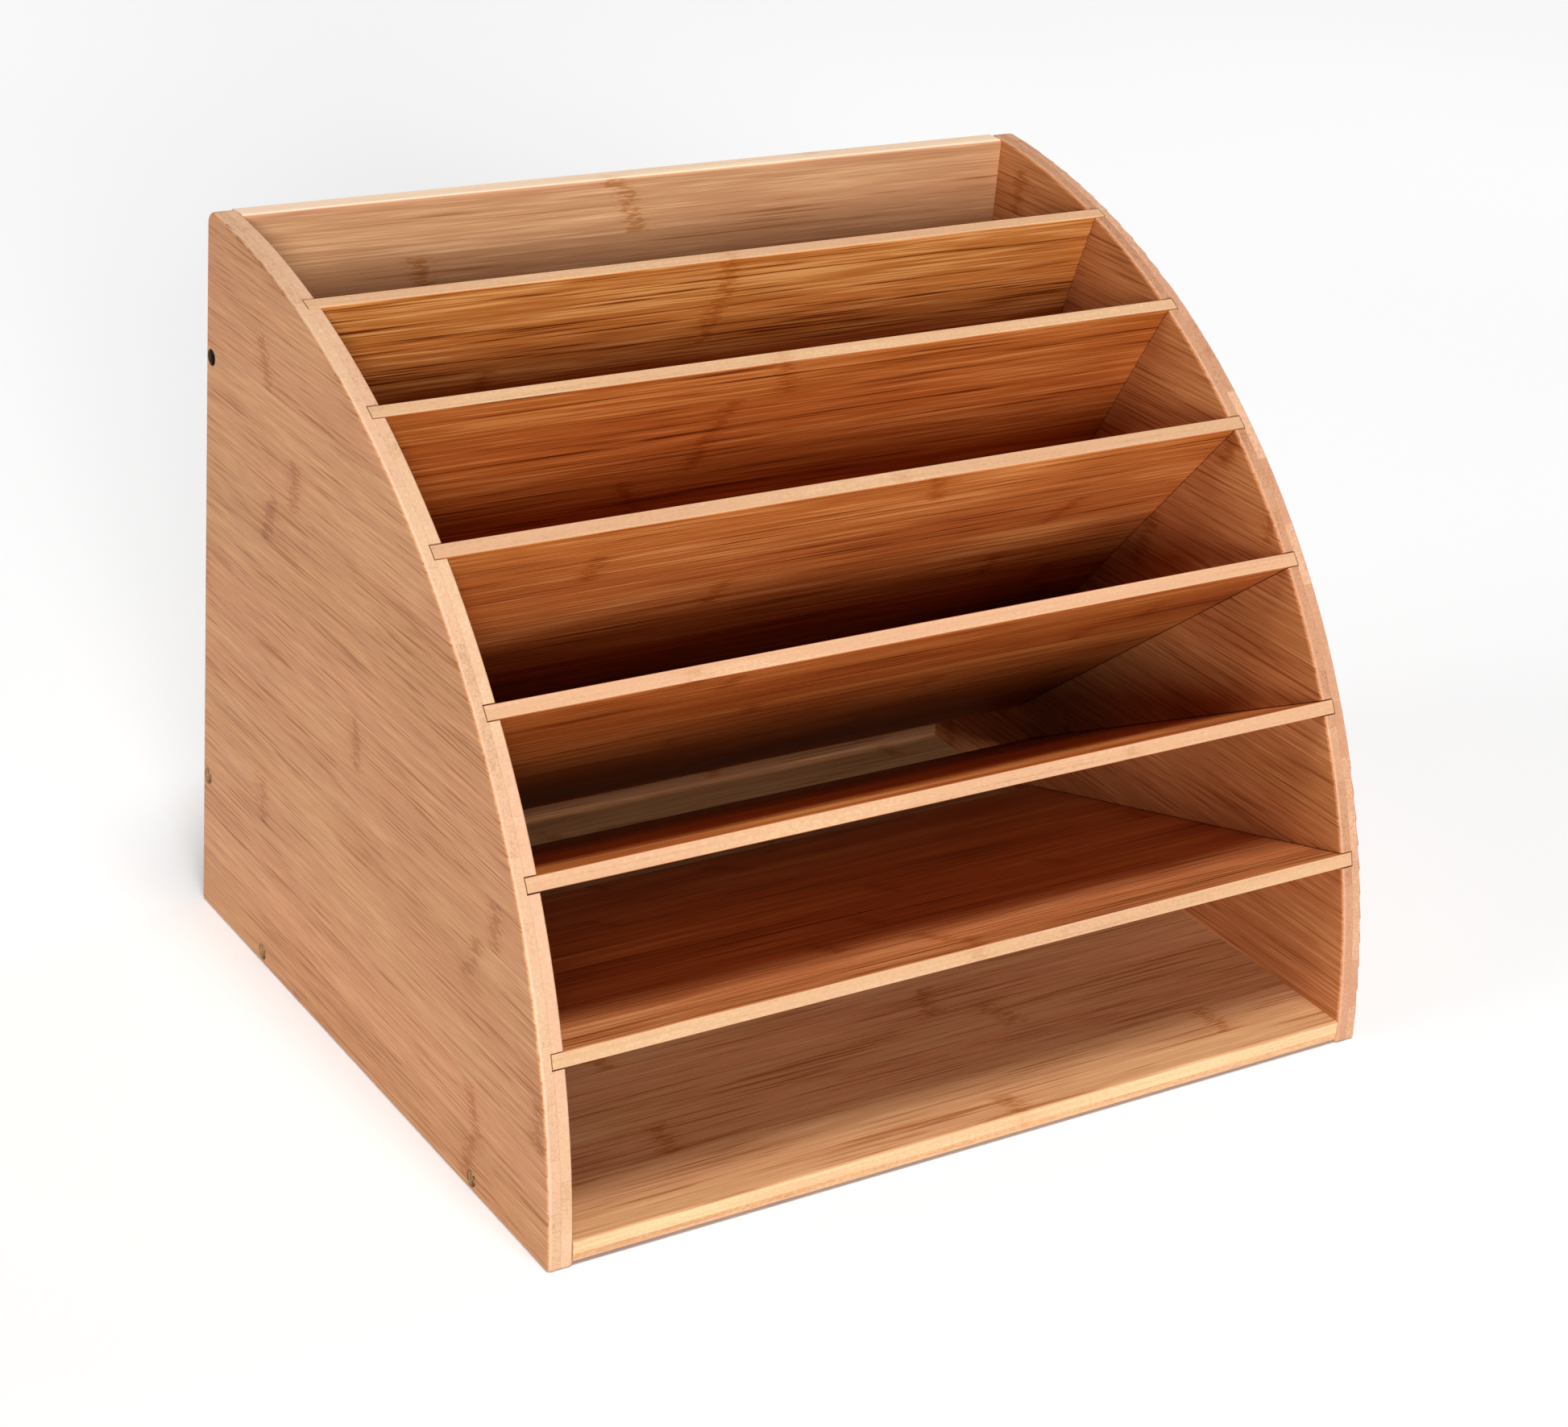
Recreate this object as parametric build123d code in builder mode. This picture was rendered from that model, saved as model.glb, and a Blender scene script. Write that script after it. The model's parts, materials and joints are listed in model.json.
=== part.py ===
"""Desktop file sorter: a bamboo carcass with a quarter-round front and six removable dividers.

Two side panels stand on the desk. A back panel and a bottom panel are screwed between them.
Each divider slides into a pair of slots, one in each side panel's inner face. The slots fan
out from the centre of the round front edge, so all dividers are the same board.

Frame: millimetres, X across (right is +X), Y front to back (front is -Y), Z up. The origin
is the centre of the footprint on the desk.
"""

import math
import os

from build123d import *

# ---------------------------------------------------------------- driving dimensions
width = 336.0  # outside, over both side panels
side_thickness = 9.0
back_thickness = 9.0
bottom_thickness = 8.0
bottom_gap = 1.0  # the back and the bottom stop this far above the desk
back_drop = 0.9  # the back's top is this far below the top of the side panels
bottom_setback = 0.6  # the bottom's front edge is this far behind the foot of the arc

arc_radius = 282.0  # front edge of the side panels
arc_offset = 15.0  # its centre lies this far behind and below the rear bottom corner

divider_thickness = 5.2
divider_depth = 185.0  # from the round front edge towards the arc's centre
fan_slopes = (72.7, 62.0, 50.9, 39.8, 28.7, 17.4)  # from the top, degrees above the horizontal

slot_depth = 5.0  # into the side panel
slot_gap = 0.3  # clearance on each face of a divider
slot_end_gap = 0.4  # clearance at each end of a divider
slot_run_out = 2.05  # the slot's round inner end lies this far behind the divider

edge_round = 1.2  # all round both faces of a side panel
corner_round = 1.6  # bottom corners of a side panel
top_corner_round = 5.0  # rear top corner of a side panel
panel_round = 1.4  # exposed long edges of the back and the bottom
divider_round = 0.6  # long edges of a divider

screw_near = 53.0  # screws along the back and the bottom, from the rear bottom corner
screw_far = 214.5
screw_height = 4.4  # bottom screws, above the desk
screw_head_radius = 2.7
screw_radius = 1.5
screw_head_height = 1.2
screw_length = 25.0
screw_tip = 3.0
screw_recess = 1.0  # the head's top lies this far under the side panel's face
head_clearance = 0.1  # radial, round the head
shank_clearance = 0.1  # radial, where the shank passes the side panel
pilot_clearance = 0.05  # radial, in the end of the back or the bottom
recess_length = 3.0  # the cross recess in the head
recess_width = 0.7
recess_depth = 0.9

# ---------------------------------------------------------------- worked-out dimensions
depth = math.sqrt(arc_radius**2 - arc_offset**2) - arc_offset
height = depth  # the arc's centre is as far below as behind, so the sides are as tall as deep
front_y = -depth / 2
rear_y = depth / 2
inner_x = width / 2 - side_thickness
inner_width = 2 * inner_x
arc_center = (rear_y + arc_offset, -arc_offset)  # in Y and Z
divider_length = inner_width + 2 * (slot_depth - slot_end_gap)
divider_rear = arc_radius - divider_depth  # radius of a divider's rear edge
slot_width = divider_thickness + 2 * slot_gap
slot_length = divider_depth + slot_run_out + slot_width  # runs out through the front edge
slot_middle = divider_rear - slot_run_out + slot_length / 2
back_top = height - back_drop
back_middle_y = rear_y - back_thickness / 2
bottom_front = front_y + bottom_setback
bottom_rear = rear_y - back_thickness

# Screw axes in Y and Z, the same in both side panels.
screw_points = {
    "back_upper": (back_middle_y, screw_far),
    "back_lower": (back_middle_y, screw_near),
    "bottom_rear": (rear_y - screw_near, screw_height),
    "bottom_front": (rear_y - screw_far, screw_height),
}

os.makedirs("parts", exist_ok=True)


def outer_face(hand, inset=0.0):
    """Plane on a side panel's outer face, moved in by inset. Its axes are hand * Y and Z."""
    x = hand * (width / 2 - inset)
    return Plane(origin=(x, 0, 0), x_dir=(0, hand, 0), z_dir=(hand, 0, 0))


def save(piece, name):
    """Label a finished piece and write it to its own file."""
    piece.part.label = name
    export_step(piece.part, f"parts/{name}.step")


def make_side(hand):
    """Side panel; hand is -1 for the left one and +1 for the right one."""
    middle_angle = math.radians(45)
    arc_middle = (
        arc_center[0] - arc_radius * math.cos(middle_angle),
        arc_center[1] + arc_radius * math.sin(middle_angle),
    )
    holes = [(hand * y, z) for y, z in screw_points.values()]
    with BuildPart() as side:
        with BuildSketch(Plane.YZ.offset(hand * inner_x)):
            with BuildLine():
                Polyline((front_y, 0), (rear_y, 0), (rear_y, height))
                ThreePointArc((rear_y, height), arc_middle, (front_y, 0))
            make_face()
        extrude(amount=hand * side_thickness)
        corners = side.edges().filter_by(Axis.X).sort_by(Axis.Z)
        fillet(corners[-1], top_corner_round)
        fillet(side.edges().filter_by(Axis.X).group_by(Axis.Z)[0], corner_round)
        faces = side.faces().filter_by(Axis.X)
        fillet(faces.edges(), edge_round)
        # The fan of slots, open at the front edge.
        with BuildSketch(Plane.YZ.offset(hand * inner_x)):
            with Locations(arc_center):
                for slope in fan_slopes:
                    with PolarLocations(slot_middle, 1, start_angle=180 - slope):
                        SlotOverall(slot_length, slot_width)
        extrude(amount=hand * slot_depth, mode=Mode.SUBTRACT)
        # Countersunk screw holes with a short straight mouth.
        with Locations(outer_face(hand)):
            with Locations(*holes):
                Hole(screw_head_radius + head_clearance, depth=screw_recess)
        with Locations(outer_face(hand, screw_recess)):
            with Locations(*holes):
                CounterSinkHole(
                    screw_radius + shank_clearance,
                    screw_head_radius + head_clearance,
                    depth=side_thickness,
                    counter_sink_angle=90,
                )
    return side


def make_divider(slope):
    """Divider whose plane passes through the arc's centre at this slope in degrees."""
    rise = math.radians(slope)
    across = Plane(
        origin=(0, *arc_center),
        x_dir=(1, 0, 0),
        z_dir=(0, -math.sin(rise), -math.cos(rise)),
    )
    with BuildPart() as divider:
        with BuildSketch(across):
            with Locations((0, divider_rear + divider_depth / 2)):
                Rectangle(divider_length, divider_depth)
        extrude(amount=divider_thickness / 2, both=True)
        fillet(divider.edges().filter_by(Axis.X), divider_round)
    return divider


def make_screw(hand, point):
    """Countersunk wood screw, driven in from the outer face of one side panel."""
    y, z = point
    head_top = Plane(
        origin=(hand * (width / 2 - screw_recess), y, z),
        x_dir=(0, hand, 0),
        z_dir=(hand, 0, 0),
    )
    shank_length = screw_length - screw_head_height - screw_tip
    down = (Align.CENTER, Align.CENTER, Align.MAX)
    with BuildPart(head_top) as screw:
        Cone(screw_radius, screw_head_radius, screw_head_height, align=down)
        with Locations((0, 0, -screw_head_height)):
            Cylinder(screw_radius, shank_length, align=down)
        with Locations((0, 0, -screw_head_height - shank_length)):
            Cone(0.2 * screw_radius, screw_radius, screw_tip, align=down)
        with BuildSketch(head_top):
            Rectangle(recess_length, recess_width)
            Rectangle(recess_width, recess_length)
        extrude(amount=-recess_depth, taper=12, mode=Mode.SUBTRACT)
    return screw


# ---------------------------------------------------------------- side panels
for side_name, side_hand in (("left_side", -1), ("right_side", 1)):
    save(make_side(side_hand), side_name)

# ---------------------------------------------------------------- back panel
with BuildPart() as back_panel:
    with BuildSketch(Plane.XY.offset(bottom_gap)):
        with Locations((0, back_middle_y)):
            Rectangle(inner_width, back_thickness)
    extrude(amount=back_top - bottom_gap)
    fillet(back_panel.edges().filter_by(Axis.X).group_by(Axis.Z)[-1], panel_round)
    for end in (-1, 1):
        with Locations(outer_face(end, side_thickness)):
            with Locations((end * back_middle_y, screw_near), (end * back_middle_y, screw_far)):
                Hole(screw_radius + pilot_clearance, depth=screw_length - side_thickness + 1)
save(back_panel, "back_panel")

# ---------------------------------------------------------------- bottom panel
with BuildPart() as bottom_panel:
    with BuildSketch(Plane.XY.offset(bottom_gap)):
        with Locations((0, (bottom_front + bottom_rear) / 2)):
            Rectangle(inner_width, bottom_rear - bottom_front)
    extrude(amount=bottom_thickness)
    front_edges = bottom_panel.edges().filter_by(Axis.X).group_by(Axis.Y)[0]
    fillet(front_edges, panel_round)
    for end in (-1, 1):
        with Locations(outer_face(end, side_thickness)):
            with Locations(
                (end * (rear_y - screw_near), screw_height),
                (end * (rear_y - screw_far), screw_height),
            ):
                Hole(screw_radius + pilot_clearance, depth=screw_length - side_thickness + 1)
save(bottom_panel, "bottom_panel")

# ---------------------------------------------------------------- dividers, 1 is the top one
for number, slope in enumerate(fan_slopes, start=1):
    save(make_divider(slope), f"divider_{number}")

# ---------------------------------------------------------------- screws
for screw_side, screw_hand in (("left", -1), ("right", 1)):
    for place, screw_point in screw_points.items():
        save(make_screw(screw_hand, screw_point), f"screw_{screw_side}_{place}")
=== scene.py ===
"""Looks of a bamboo desktop file sorter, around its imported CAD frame.

Every visible piece is a CAD node, so this script makes no shapes of the object. It gives each
board a laminated bamboo material with its own grain direction and each screw a plated steel
one, and adds the floor, the studio lights and the camera. Lengths are in metres.
"""

import json
import math

import bpy
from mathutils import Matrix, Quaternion, Vector


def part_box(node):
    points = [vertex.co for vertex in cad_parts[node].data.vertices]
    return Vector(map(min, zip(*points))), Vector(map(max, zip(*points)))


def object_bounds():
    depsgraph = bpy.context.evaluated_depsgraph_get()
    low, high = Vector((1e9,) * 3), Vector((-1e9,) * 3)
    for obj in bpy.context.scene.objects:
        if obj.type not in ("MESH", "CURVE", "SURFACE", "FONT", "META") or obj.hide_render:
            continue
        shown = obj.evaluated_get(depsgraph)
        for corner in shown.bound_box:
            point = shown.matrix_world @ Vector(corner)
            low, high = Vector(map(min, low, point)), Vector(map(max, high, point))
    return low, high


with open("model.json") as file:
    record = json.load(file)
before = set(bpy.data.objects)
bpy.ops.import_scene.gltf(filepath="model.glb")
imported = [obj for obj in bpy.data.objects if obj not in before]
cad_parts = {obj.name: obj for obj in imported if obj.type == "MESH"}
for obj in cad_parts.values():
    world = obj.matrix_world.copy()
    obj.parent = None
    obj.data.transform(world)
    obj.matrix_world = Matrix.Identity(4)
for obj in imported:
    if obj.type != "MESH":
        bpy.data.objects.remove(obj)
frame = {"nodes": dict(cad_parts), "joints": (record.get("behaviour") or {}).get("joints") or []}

cad_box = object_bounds()

# ---------------------------------------------------------------- named values
MM = 0.001
X = Vector((1, 0, 0))
Y = Vector((0, 1, 0))
Z = Vector((0, 0, 1))

# Bamboo: each board is made of flat strips glued side by side, in one or two plies.
STRIP_WIDTH = 18 * MM
PLY_SHIFT = 0.43  # how far one ply's strips are shifted from the other's, in strips
SEED_SHIFT = 0.31  # and how far a board's are for each step of its seed
SINGLE_PLY = -9.0  # the seam of a board with one ply: well outside the board
DIVIDER_SEED = 23  # the top divider's. The others count on from it.
GLUE_LINE = 0.16 * MM
SEAM_LINE = 1.4 * GLUE_LINE
PATTERN_SHIFT = 60.0  # how far apart two strips are in the same pattern
ROUNDED = (0.1, 0.7)  # where a face's look turns into the edge's, in roundings from the face
WEAR_AND_HIGHLIGHT = (0.5, 1.4)  # and where the line between them ends, which is painted paler as partly wear and partly a painted highlight

# The patterns in a strip: the length and width of what varies, and how much each one counts.
# A board's colours go from dark to light as the sum goes through COLOUR_SPREAD on both sides of 0.
STREAK = (65 * MM, 2.3 * MM)
FIBRE = (22 * MM, 0.75 * MM)
THREAD = (42 * MM, 0.9 * MM)
CLOUD = (90 * MM, 24 * MM)
PORE = (1.4 * MM, 0.7 * MM)
STREAK_WEIGHT = 0.6
FIBRE_WEIGHT = 1.15
THREAD_WEIGHT = -0.28
THREAD_LEVELS = (0.03, 0.18)  # the noise where a thread starts, and where it is darkest
THREAD_LIFT = 0.06  # makes up for what the dark threads take away
CLOUD_WEIGHT = 0.3
FACE_PICK_WEIGHT = 0.12  # how much one strip differs from the next on a face
EDGE_GRAIN_WEIGHT = 0.3
EDGE_PORE_WEIGHT = 0.45
HUE_CLOUD_WEIGHT = 1.2
COLOUR_SPREAD = 0.3

# Knuckles: the dark dashes that are left where the bamboo cane had a joint.
KNUCKLE_SPACING = 280 * MM
KNUCKLE_REACH = 8 * MM
KNUCKLE_HALO = 1.6 * KNUCKLE_REACH
KNUCKLE_LEAN = 9 * MM  # the most that a band of dashes leans, over the width of its strip
DASH = (4.5 * MM, 0.8 * MM)
DASH_CROWDING = 0.24  # how much denser the dashes are in the middle of the band
DASH_LEVELS = (0.1, 0.26)  # the noise where a dash starts, and where it is darkest
DASH_STRENGTH = 0.75
HALO_STRENGTH = 0.12  # of the faint band round the dashes
KNUCKLES_ON_FACE = 0.75
KNUCKLES_ON_EDGE = 0.3

GLUE_STRENGTH = 0.18
WEAR_AND_HIGHLIGHT_STRENGTH = 0.35
BAMBOO_ROUGHNESS = 0.44
GRAIN_ROUGHNESS = 0.25
EDGE_ROUGHNESS = 0.08
WORN_ROUGHNESS = -0.1
BAMBOO_SPECULAR = 0.25
BAMBOO_BUMP = (0.6, 0.07 * MM)  # strength, and height of the relief
GRAIN_HEIGHT = 0.8
GLUE_HEIGHT = -0.4

# Screws
ACROSS_SCREW = (0.0, 1.0, 1.0)  # every screw points along X
HOLE_RIM = (0.2 * MM, 0.5 * MM)  # where the painted shade on a hole's wall fades, outside the screw's head
TURNING = 0.12 * MM  # from one turning mark to the next
PATINA = 0.8 * MM  # size of the tarnished patches
PATINA_LEVELS = (-0.15, 0.2)  # the noise where the metal's two colours end
RECESS = (0.1 * MM, 0.9 * MM)  # how deep in the head the painted shade starts, and where it is full
RECESS_SHADE = 0.75
STEEL_ROUGHNESS = 0.34
RING_ROUGHNESS = 0.25
PATINA_AND_RECESS_ROUGHNESS = 0.3
STEEL_BUMP = (0.5, 0.02 * MM)

# Camera
CAMERA_PLACE = Vector((-0.6114, -0.8734, 0.6095))
CAMERA_AZIMUTH = -34.77  # degrees, 0 looks along +Y
CAMERA_ELEVATION = 25.38
CAMERA_ROLL = 5.16
CAMERA_LENS = 76.12  # millimetres, on a sensor 36 mm wide

# Softboxes: direction from the object in degrees, distance, size, and the brightness that one
# gives a white surface that faces it, where 1 is display white.
SOFTBOXES = {
    "front": dict(azimuth=-20, elevation=12, distance=20.0, size=7.5, brightness=0.92),
    "top": dict(azimuth=-20, elevation=80, distance=20.0, size=7.5, brightness=0.74),
    "left": dict(azimuth=-95, elevation=22, distance=12.0, size=5.4, brightness=0.2),
    "right": dict(azimuth=100, elevation=25, distance=12.0, size=5.4, brightness=0.12),
}
ROOM_LIGHT = 0.08
BACKDROP = 1.0
FLOOR_SIZE = 6.0
FLOOR_ROUGHNESS = 0.9
FLOOR_LEVELS = (-0.4, 0.4)  # the noise where the floor's two colours end


def srgb(red, green, blue):
    """Linear colour of a display colour given from 0 to 255."""
    shares = [value / 255 for value in (red, green, blue)]
    linear = [s / 12.92 if s <= 0.04045 else ((s + 0.055) / 1.055) ** 2.4 for s in shares]
    return (*linear, 1.0)


# Colours of a board's broad faces and of its cut edges, each from dark to light. Streaks say how
# strongly the grain shows on the faces, length how long it is beside the sizes above, plies how
# much paler the second ply's edge is, patches how much the strips' ends differ in the edge, and
# rounding is the radius between a face and an edge. A divider takes its face and its streaks
# from the stock that it is cut from.
LEFT_BOARD = dict(
    face=(srgb(158, 94, 36), srgb(188, 130, 87), srgb(206, 149, 106)),
    edge=(srgb(184, 142, 114), srgb(206, 165, 137), srgb(220, 184, 158)),
    streaks=0.86,
    length=1.0,
    plies=0.12,
    patches=0.12,
    rounding=1.2 * MM,
)
# The right board's face and edge are darker and more orange than the left board's, partly as painted
# shade: its face is seen inside the sorter and its edge lies in less light.
RIGHT_BOARD = dict(
    face=(srgb(146, 82, 44), srgb(186, 117, 72), srgb(208, 144, 98)),
    edge=(srgb(164, 114, 86), srgb(188, 139, 111), srgb(210, 166, 140)),
    streaks=0.8,
    length=1.3,
    plies=-0.14,
    patches=0.16,
    rounding=1.2 * MM,
)
BACK_BOARD = dict(
    face=(srgb(150, 98, 60), srgb(193, 141, 106), srgb(226, 177, 140)),
    edge=(srgb(226, 192, 166), srgb(240, 211, 187), srgb(248, 224, 202)),
    streaks=0.5,
    length=1.7,
    plies=0.0,
    patches=0.0,
    rounding=1.4 * MM,
)
BOTTOM_BOARD = dict(
    face=(srgb(164, 106, 66), srgb(204, 152, 111), srgb(223, 176, 137)),
    edge=(srgb(190, 140, 102), srgb(214, 167, 128), srgb(230, 190, 152)),
    streaks=0.68,
    length=1.5,
    plies=0.3,
    patches=0.0,
    rounding=1.4 * MM,
)
DIVIDER_BOARD = dict(
    edge=(srgb(182, 140, 110), srgb(201, 158, 126), srgb(216, 178, 147)),
    length=2.0,
    plies=0.0,
    patches=0.0,
    rounding=0.6 * MM,
)
YELLOWISH = dict(face=(srgb(100, 42, 9), srgb(184, 110, 51), srgb(222, 158, 98)), streaks=0.86)
BROWNISH = dict(face=(srgb(98, 38, 10), srgb(166, 87, 36), srgb(202, 128, 72)), streaks=0.74)
REDDISH = dict(face=(srgb(108, 50, 18), srgb(188, 106, 51), srgb(230, 158, 97)), streaks=0.68)
PALER = dict(face=(srgb(112, 56, 26), srgb(186, 112, 66), srgb(224, 162, 112)), streaks=0.75)
DIVIDER_STOCK = (YELLOWISH, BROWNISH, REDDISH, BROWNISH, REDDISH, PALER)  # from the top
ORANGE = (1.0, 0.955, 0.89, 1.0)  # what a strip's colour is multiplied by, from orange to golden
GOLDEN = (0.985, 1.0, 0.88, 1.0)
KNUCKLE_TINT = (0.62, 0.37, 0.1, 1.0)  # what a knuckle multiplies the colour by
GLUE_COLOUR = srgb(120, 72, 42)
# painted shade: the colour that darkens screw holes' walls and the recesses in screw heads
PAINTED_SHADE_COLOUR = srgb(44, 31, 21)
FLOOR_COLOURS = (srgb(244, 244, 244), srgb(250, 250, 250))

# Screws' finishes and painted shade: the metal's colours, and how much painted shade darkens the hole
# around the head.
BRASSY = dict(metal=(srgb(186, 152, 92), srgb(236, 218, 170)), hole=0.5)
# The upper back screw's head and hole are painted nearly black, as painted shade of a deep hole that
# the light does not reach.
IN_DEEP_SHADE = dict(metal=(srgb(34, 27, 21), srgb(64, 54, 44)), hole=0.97)


class Shader:
    """One node material, with short ways to add nodes to it."""

    def __init__(self, name):
        self.material = bpy.data.materials.new(name)
        self.material.use_nodes = True
        self.tree = self.material.node_tree
        self.surface = self.tree.nodes["Principled BSDF"]

    def plug(self, socket, value):
        """Link a socket to a node's output, or set it to a plain value."""
        if isinstance(value, bpy.types.NodeSocket):
            self.tree.links.new(value, socket)
        else:
            socket.default_value = value

    def feed(self, name, value):
        """Fill one of the surface's own inputs."""
        self.plug(self.surface.inputs[name], value)

    def add(self, kind, inputs, **settings):
        """Add a node, set its own settings and fill its inputs."""
        node = self.tree.nodes.new(kind)
        for name, value in settings.items():
            setattr(node, name, value)
        for key, value in inputs.items():
            self.plug(node.inputs[key], value)
        return node

    def calc(self, operation, *values, clamp=False):
        inputs = dict(enumerate(values))
        node = self.add("ShaderNodeMath", inputs, operation=operation, use_clamp=clamp)
        return node.outputs[0]

    def vector(self, operation, *values, output="Vector"):
        inputs = dict(enumerate(values))
        return self.add("ShaderNodeVectorMath", inputs, operation=operation).outputs[output]

    def dot(self, vector, axis):
        return self.vector("DOT_PRODUCT", vector, axis, output="Value")

    def object_place(self):
        """Where a point is in its own object, whatever pose the object is in."""
        return self.add("ShaderNodeTexCoord", {}).outputs["Object"]

    def point(self, x, y, z):
        return self.add("ShaderNodeCombineXYZ", {0: x, 1: y, 2: z}).outputs[0]

    def step(self, value, low, high):
        """0 below low and 1 above high, with a smooth change between them."""
        inputs = {"Value": value, "From Min": low, "From Max": high}
        node = self.add("ShaderNodeMapRange", inputs, interpolation_type="SMOOTHSTEP")
        return node.outputs[0]

    def fade(self, value, low, high):
        """1 below low and 0 above high, with a smooth change between them."""
        return self.calc("SUBTRACT", 1.0, self.step(value, low, high))

    def noise(self, point, detail=2.0, roughness=0.5):
        """Noise about 0, from about -0.5 to 0.5."""
        inputs = {"Vector": point, "Scale": 1.0, "Detail": detail, "Roughness": roughness}
        return self.calc("SUBTRACT", self.add("ShaderNodeTexNoise", inputs).outputs[0], 0.5)

    def mix(self, factor, first, second, blend="MIX"):
        """Two colours mixed. Sockets 6 and 7 and output 2 are the mix node's colour ones."""
        inputs = {0: factor, 6: first, 7: second}
        node = self.add("ShaderNodeMix", inputs, data_type="RGBA", blend_type=blend)
        return node.outputs[2]

    def ramp(self, value, colours):
        """Colours from dark to light as value goes from -COLOUR_SPREAD to COLOUR_SPREAD."""
        low, middle, high = colours
        dark = self.mix(self.step(value, -COLOUR_SPREAD, 0.0), low, middle)
        return self.mix(self.step(value, 0.0, COLOUR_SPREAD), dark, high)

    def total(self, *terms):
        """Sum of (value, weight) pairs."""
        result = 0.0
        for value, weight in terms:
            result = self.calc("MULTIPLY_ADD", value, weight, result)
        return result

    def bump(self, height, strength, distance):
        inputs = {"Strength": strength, "Distance": distance, "Height": height}
        self.feed("Normal", self.add("ShaderNodeBump", inputs).outputs[0])


class Bamboo(Shader):
    """Laminated bamboo board. The grain runs along, strips lie side by side across, and
    through is the direction of the board's thickness. u, v and w are a point's places in those
    three directions. seam is where two plies meet, as a share of the thickness."""

    def __init__(self, node, along, across, through, seam, seed, board):
        super().__init__("bamboo_" + node)
        self.board = board
        place = self.object_place()
        self.u, self.v, self.w = (self.dot(place, axis) for axis in (along, across, through))
        low, high = span(node, through)
        self.find_edges(low, high)
        self.lay_strips(low + seam * (high - low), seed)
        self.grow_grain()
        # Painted shade darkens the wall of each screw hole.
        hole_shade = self.find_hole_shade(place, screws_in(node))
        self.feed("Base Color", self.mix(hole_shade, self.colour_without_hole_shade(), PAINTED_SHADE_COLOUR))
        self.finish()

    def find_edges(self, low, high):
        """Where the cut edges are, and the line of the rounding beside the broad faces, painted paler
        as partly wear and partly a painted highlight.
        """
        aside = self.calc("ABSOLUTE", self.calc("SUBTRACT", self.w, (low + high) / 2))
        inset = self.calc("SUBTRACT", (high - low) / 2, aside)
        rounding = self.board["rounding"]
        self.edge = self.step(inset, ROUNDED[0] * rounding, ROUNDED[1] * rounding)
        near_face = self.fade(inset, WEAR_AND_HIGHLIGHT[0] * rounding, WEAR_AND_HIGHLIGHT[1] * rounding)
        self.wear_and_highlight = self.calc("MULTIPLY", self.edge, near_face)

    def lay_strips(self, seam, seed):
        """Which strip a point is in, three random numbers for that strip, and the glue lines."""
        self.ply = self.calc("GREATER_THAN", self.w, seam)
        row = self.calc("MULTIPLY_ADD", self.ply, PLY_SHIFT, seed * SEED_SHIFT)
        row = self.calc("MULTIPLY_ADD", self.v, 1 / STRIP_WIDTH, row)
        strip = self.point(self.calc("FLOOR", row), self.ply, seed)
        random = self.add("ShaderNodeTexWhiteNoise", {"Vector": strip}, noise_dimensions="3D")
        picks = random.outputs["Color"]
        channels = self.add("ShaderNodeSeparateColor", {0: picks}).outputs
        self.tone_pick, self.knuckle_pick, self.hue_pick = (channels[i] for i in range(3))
        self.place = self.point(self.u, self.v, self.w)
        self.pattern = self.vector("MULTIPLY", picks, (PATTERN_SHIFT,) * 3)
        self.within = self.calc("SUBTRACT", self.calc("FRACT", row), 0.5)
        to_edge = self.calc("SUBTRACT", 0.5, self.calc("ABSOLUTE", self.within))
        between_strips = self.fade(to_edge, 0.0, GLUE_LINE / STRIP_WIDTH)
        to_seam = self.calc("ABSOLUTE", self.calc("SUBTRACT", self.w, seam))
        self.glue = self.calc("MAXIMUM", between_strips, self.fade(to_seam, 0.0, SEAM_LINE))

    def stretched(self, size, longer=1.0):
        """The point in units of size, which is a length along the grain and a width."""
        length = size[0] * longer
        width = size[1]
        scale = (1 / length, 1 / width, 1 / width)
        return self.vector("MULTIPLY_ADD", self.place, scale, self.pattern)

    def grow_grain(self):
        """The patterns of the bamboo, each as a number about 0."""
        length = self.board["length"]
        self.streak = self.noise(self.stretched(STREAK, length), roughness=0.55)
        self.fibre = self.noise(self.stretched(FIBRE, length), roughness=0.6)
        self.cloud = self.noise(self.stretched(CLOUD), detail=0.0)
        thread = self.noise(self.stretched(THREAD, length), detail=1.0)
        grain = self.total(
            (self.streak, STREAK_WEIGHT),
            (self.fibre, FIBRE_WEIGHT),
            (self.step(thread, *THREAD_LEVELS), THREAD_WEIGHT),
        )
        self.grain = self.calc("ADD", grain, THREAD_LIFT)

    def face_colour(self, pick):
        tone = self.total(
            (self.grain, self.board["streaks"]),
            (self.cloud, CLOUD_WEIGHT),
            (pick, FACE_PICK_WEIGHT),
        )
        return self.ramp(tone, self.board["face"])

    def edge_colour(self, pick):
        pores = self.noise(self.stretched(PORE), detail=1.0)
        ply = self.calc("SUBTRACT", self.ply, 0.5)
        tone = self.total(
            (self.grain, EDGE_GRAIN_WEIGHT),
            (pores, EDGE_PORE_WEIGHT),
            (self.cloud, CLOUD_WEIGHT),
            (ply, self.board["plies"]),
            (pick, self.board["patches"]),
        )
        return self.ramp(tone, self.board["edge"])

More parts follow.
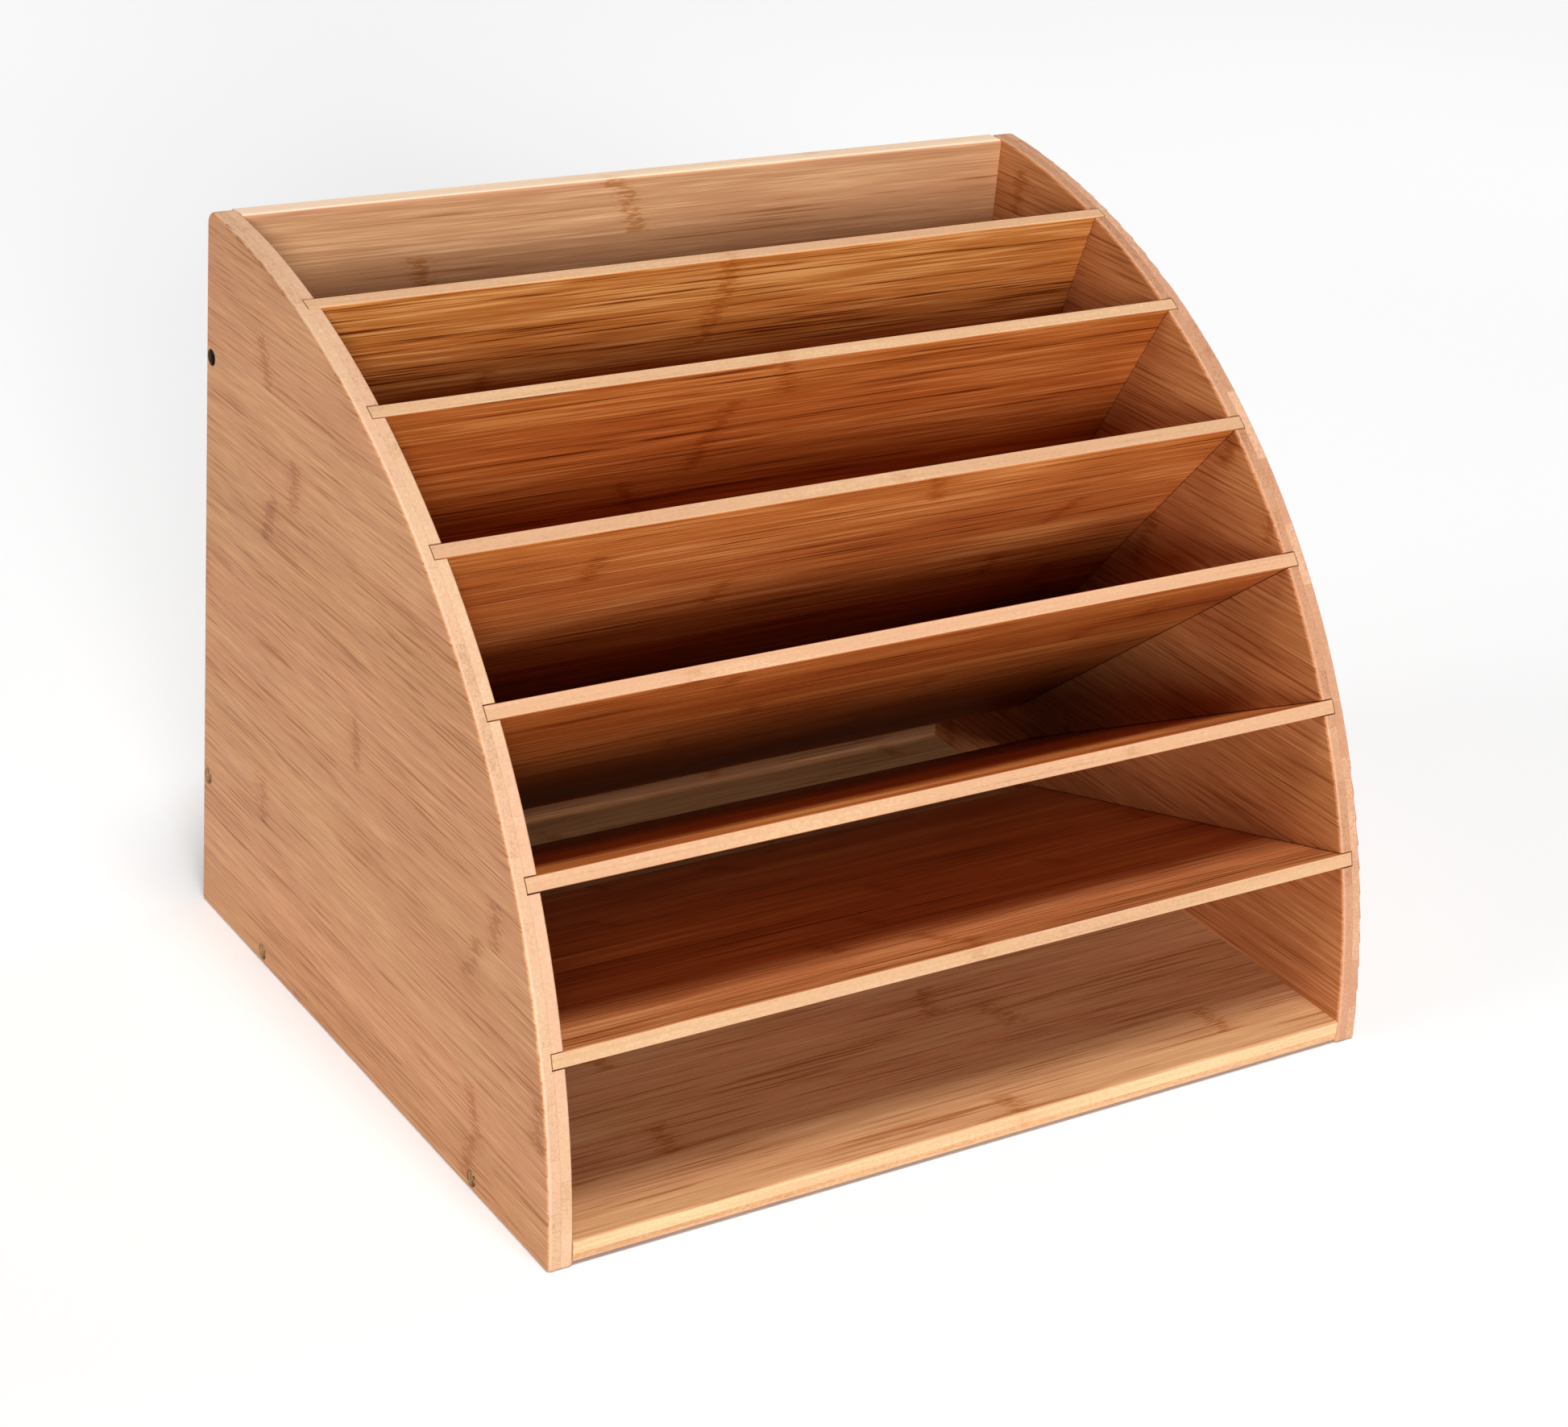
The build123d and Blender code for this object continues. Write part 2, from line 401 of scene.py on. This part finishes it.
    def knuckles(self):
        """Short dark dashes in a band across a strip, where the bamboo cane had a joint."""
        phase = self.calc("MULTIPLY_ADD", self.u, 1 / KNUCKLE_SPACING, self.knuckle_pick)
        place = self.calc("SUBTRACT", self.calc("FRACT", phase), 0.5)
        place = self.calc("MULTIPLY", place, KNUCKLE_SPACING)
        lean = self.calc("MULTIPLY", self.calc("SUBTRACT", self.hue_pick, 0.5), self.within)
        place = self.calc("MULTIPLY_ADD", lean, 2 * KNUCKLE_LEAN, place)
        dashes = self.noise(self.stretched(DASH), detail=1.0)
        distance = self.calc("ABSOLUTE", place)
        near = self.fade(distance, 0.0, KNUCKLE_REACH)
        halo = self.fade(distance, 0.0, KNUCKLE_HALO)
        marks = self.step(self.total((dashes, 1.0), (near, DASH_CROWDING)), *DASH_LEVELS)
        marks = self.calc("MULTIPLY", halo, marks)
        band = self.total((marks, DASH_STRENGTH), (halo, HALO_STRENGTH))
        on_edge = KNUCKLES_ON_EDGE - KNUCKLES_ON_FACE
        strength = self.calc("MULTIPLY_ADD", self.edge, on_edge, KNUCKLES_ON_FACE)
        return self.calc("MULTIPLY", band, strength)

    def colour_without_hole_shade(self):
        """Faces and edges, tinted strip by strip, with knuckles, glue lines and corners painted paler
        as partly wear and partly a painted highlight.
        """
        pick = self.calc("SUBTRACT", self.tone_pick, 0.5)
        colour = self.mix(self.edge, self.face_colour(pick), self.edge_colour(pick))
        hue = self.step(self.total((self.hue_pick, 1.0), (self.cloud, HUE_CLOUD_WEIGHT)), 0.0, 1.0)
        colour = self.mix(1.0, colour, self.mix(hue, ORANGE, GOLDEN), "MULTIPLY")
        colour = self.mix(self.knuckles(), colour, KNUCKLE_TINT, "MULTIPLY")
        colour = self.mix(self.calc("MULTIPLY", self.glue, GLUE_STRENGTH), colour, GLUE_COLOUR)
        # The line on the rounding beside the faces is mixed towards the palest edge colour: partly
        # wear and partly a painted highlight.
        pale = self.board["edge"][2]
        return self.mix(self.calc("MULTIPLY", self.wear_and_highlight, WEAR_AND_HIGHLIGHT_STRENGTH), colour, pale)

    def find_hole_shade(self, place, screws):
        """How much painted shade there is: some on the wall of each screw hole, and none elsewhere."""
        hole_shade = 0.0
        flat = self.vector("MULTIPLY", place, ACROSS_SCREW)
        for screw in screws:
            middle, radius = head_of(screw)
            distance = self.vector("DISTANCE", flat, (0.0, middle.y, middle.z), output="Value")
            inside = self.fade(distance, radius + HOLE_RIM[0], radius + HOLE_RIM[1])
            hole_shade = self.calc("MULTIPLY_ADD", inside, finish_and_shade_of(screw)["hole"], hole_shade)
        return hole_shade

    def finish(self):
        """How rough the board is, and the relief of its grain and glue lines."""
        uneven = self.total(
            (self.streak, GRAIN_ROUGHNESS),
            (self.fibre, GRAIN_ROUGHNESS),
            (self.edge, EDGE_ROUGHNESS),
            (self.wear_and_highlight, WORN_ROUGHNESS),
        )
        self.feed("Roughness", self.calc("ADD", uneven, BAMBOO_ROUGHNESS, clamp=True))
        self.feed("Specular IOR Level", BAMBOO_SPECULAR)
        self.bump(self.total((self.grain, GRAIN_HEIGHT), (self.glue, GLUE_HEIGHT)), *BAMBOO_BUMP)


class Steel(Shader):
    """Zinc plated screw: turning marks round its axis and painted shade down in the recess."""

    def __init__(self, screw):
        super().__init__("steel_" + screw)
        low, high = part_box(screw)
        head = max(abs(low.x), abs(high.x))
        place = self.object_place()
        local = self.vector("SUBTRACT", place, head_of(screw)[0])
        radius = self.vector("LENGTH", self.vector("MULTIPLY", local, ACROSS_SCREW), output="Value")
        depth = self.calc("SUBTRACT", head, self.calc("ABSOLUTE", self.dot(place, X)))
        rings = self.noise(self.point(self.calc("DIVIDE", radius, TURNING), 0.0, 0.0))
        patina = self.noise(self.vector("MULTIPLY", local, (1 / PATINA,) * 3), detail=3.0)
        # Painted shade in the head's recess, fuller the deeper the point lies.
        recess_shade = self.calc("MULTIPLY", self.step(depth, *RECESS), RECESS_SHADE)
        metal = self.mix(self.step(patina, *PATINA_LEVELS), *finish_and_shade_of(screw)["metal"])
        self.feed("Base Color", self.mix(recess_shade, metal, PAINTED_SHADE_COLOUR))
        uneven = self.total((rings, RING_ROUGHNESS), (patina, PATINA_AND_RECESS_ROUGHNESS), (recess_shade, PATINA_AND_RECESS_ROUGHNESS))
        self.feed("Roughness", self.calc("ADD", uneven, STEEL_ROUGHNESS, clamp=True))
        self.feed("Metallic", 1.0)
        self.bump(rings, *STEEL_BUMP)


def span(node, direction):
    """How far a CAD node reaches along a direction, from and to."""
    vertices = frame["nodes"][node].data.vertices
    places = [vertex.co.dot(direction) for vertex in vertices]
    return min(places), max(places)


def screws_in(node):
    """The names of the screws that are driven into a side panel's face."""
    prefix = "screw_" + node.removesuffix("side")
    return [name for name in frame["nodes"] if name.startswith(prefix)]


def head_of(screw):
    """The middle of a screw, and its head's radius."""
    low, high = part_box(screw)
    return (low + high) / 2, (high.z - low.z) / 2


# A screw's metal colours and the painted shade of its hole. The upper back screw is painted nearly
# black as painted shade.
def finish_and_shade_of(screw):
    return IN_DEEP_SHADE if "back_upper" in screw else BRASSY


def paint(node, shader):
    """Put a shader's material in every slot of a CAD node."""
    for slot in frame["nodes"][node].material_slots:
        slot.material = shader.material


def paint_carcass():
    """Both sides' second ply is the inner one. The bottom's upper ply is the thicker one."""
    for node, along, across, through, seam, seed, board in (
        ("left_side", Y, Z, X, 0.5, 6, LEFT_BOARD),
        ("right_side", Y, Z, -X, 0.5, 4, RIGHT_BOARD),
        ("back_panel", X, Z, Y, 0.5, 11, BACK_BOARD),
        ("bottom_panel", X, Y, Z, 0.4, 17, BOTTOM_BOARD),
    ):
        paint(node, Bamboo(node, along, across, through, seam, seed, board))


def paint_dividers():
    """A divider slides along its own slope, so its joint gives the way across its strips."""
    for number, (joint, stock) in enumerate(zip(frame["joints"], DIVIDER_STOCK)):
        node = joint["child"]
        across = Vector(joint["axis"])
        through = X.cross(across)
        seed = DIVIDER_SEED + number
        paint(node, Bamboo(node, X, across, through, SINGLE_PLY, seed, DIVIDER_BOARD | stock))


def paint_screws():
    for node in frame["nodes"]:
        if node.startswith("screw_"):
            paint(node, Steel(node))


def add_floor():
    bpy.ops.mesh.primitive_plane_add(size=FLOOR_SIZE)
    floor = bpy.context.object
    floor.name = "floor"
    shader = Shader("floor_paper")
    mottle = shader.noise(shader.object_place(), detail=1.0)
    shader.feed("Base Color", shader.mix(shader.step(mottle, *FLOOR_LEVELS), *FLOOR_COLOURS))
    shader.feed("Roughness", FLOOR_ROUGHNESS)
    shader.feed("Specular IOR Level", 0.0)
    floor.data.materials.append(shader.material)


def toward(azimuth, elevation):
    """Unit vector from the object to something seen at this azimuth and elevation."""
    a = math.radians(azimuth)
    e = math.radians(elevation)
    return Vector((math.sin(a) * math.cos(e), -math.cos(a) * math.cos(e), math.sin(e)))


def add_softboxes():
    low, high = cad_box
    middle = (low + high) / 2
    for name, box in SOFTBOXES.items():
        data = bpy.data.lights.new(name, "AREA")
        data.shape = "DISK"
        data.size = box["size"]
        data.energy = box["brightness"] * (math.pi * box["distance"]) ** 2
        lamp = bpy.data.objects.new(name, data)
        direction = toward(box["azimuth"], box["elevation"])
        lamp.location = middle + direction * box["distance"]
        lamp.rotation_euler = direction.to_track_quat("Z", "Y").to_euler()
        lamp.visible_camera = False
        bpy.context.scene.collection.objects.link(lamp)


def add_room():
    """An even white room, which lights the object less than it shows behind the floor."""
    world = bpy.data.worlds.new("room")
    world.use_nodes = True
    tree = world.node_tree
    seen = tree.nodes.new("ShaderNodeLightPath").outputs["Is Camera Ray"]
    strength = tree.nodes.new("ShaderNodeMapRange")
    strength.inputs["To Min"].default_value = ROOM_LIGHT
    strength.inputs["To Max"].default_value = BACKDROP
    tree.links.new(seen, strength.inputs["Value"])
    background = tree.nodes["Background"]
    background.inputs["Color"].default_value = (1.0, 1.0, 1.0, 1.0)
    tree.links.new(strength.outputs[0], background.inputs["Strength"])
    bpy.context.scene.world = world


def add_camera():
    data = bpy.data.cameras.new("camera")
    data.lens = CAMERA_LENS
    camera = bpy.data.objects.new("camera", data)
    camera.location = CAMERA_PLACE
    aim = -toward(CAMERA_AZIMUTH, CAMERA_ELEVATION)
    roll = Quaternion((0, 0, 1), math.radians(CAMERA_ROLL))
    camera.rotation_mode = "QUATERNION"
    camera.rotation_quaternion = aim.to_track_quat("-Z", "Y") @ roll
    bpy.context.scene.collection.objects.link(camera)
    bpy.context.scene.camera = camera


paint_carcass()
paint_dividers()
paint_screws()
add_floor()
add_softboxes()
add_room()
add_camera()
bpy.context.scene.view_settings.view_transform = "Standard"
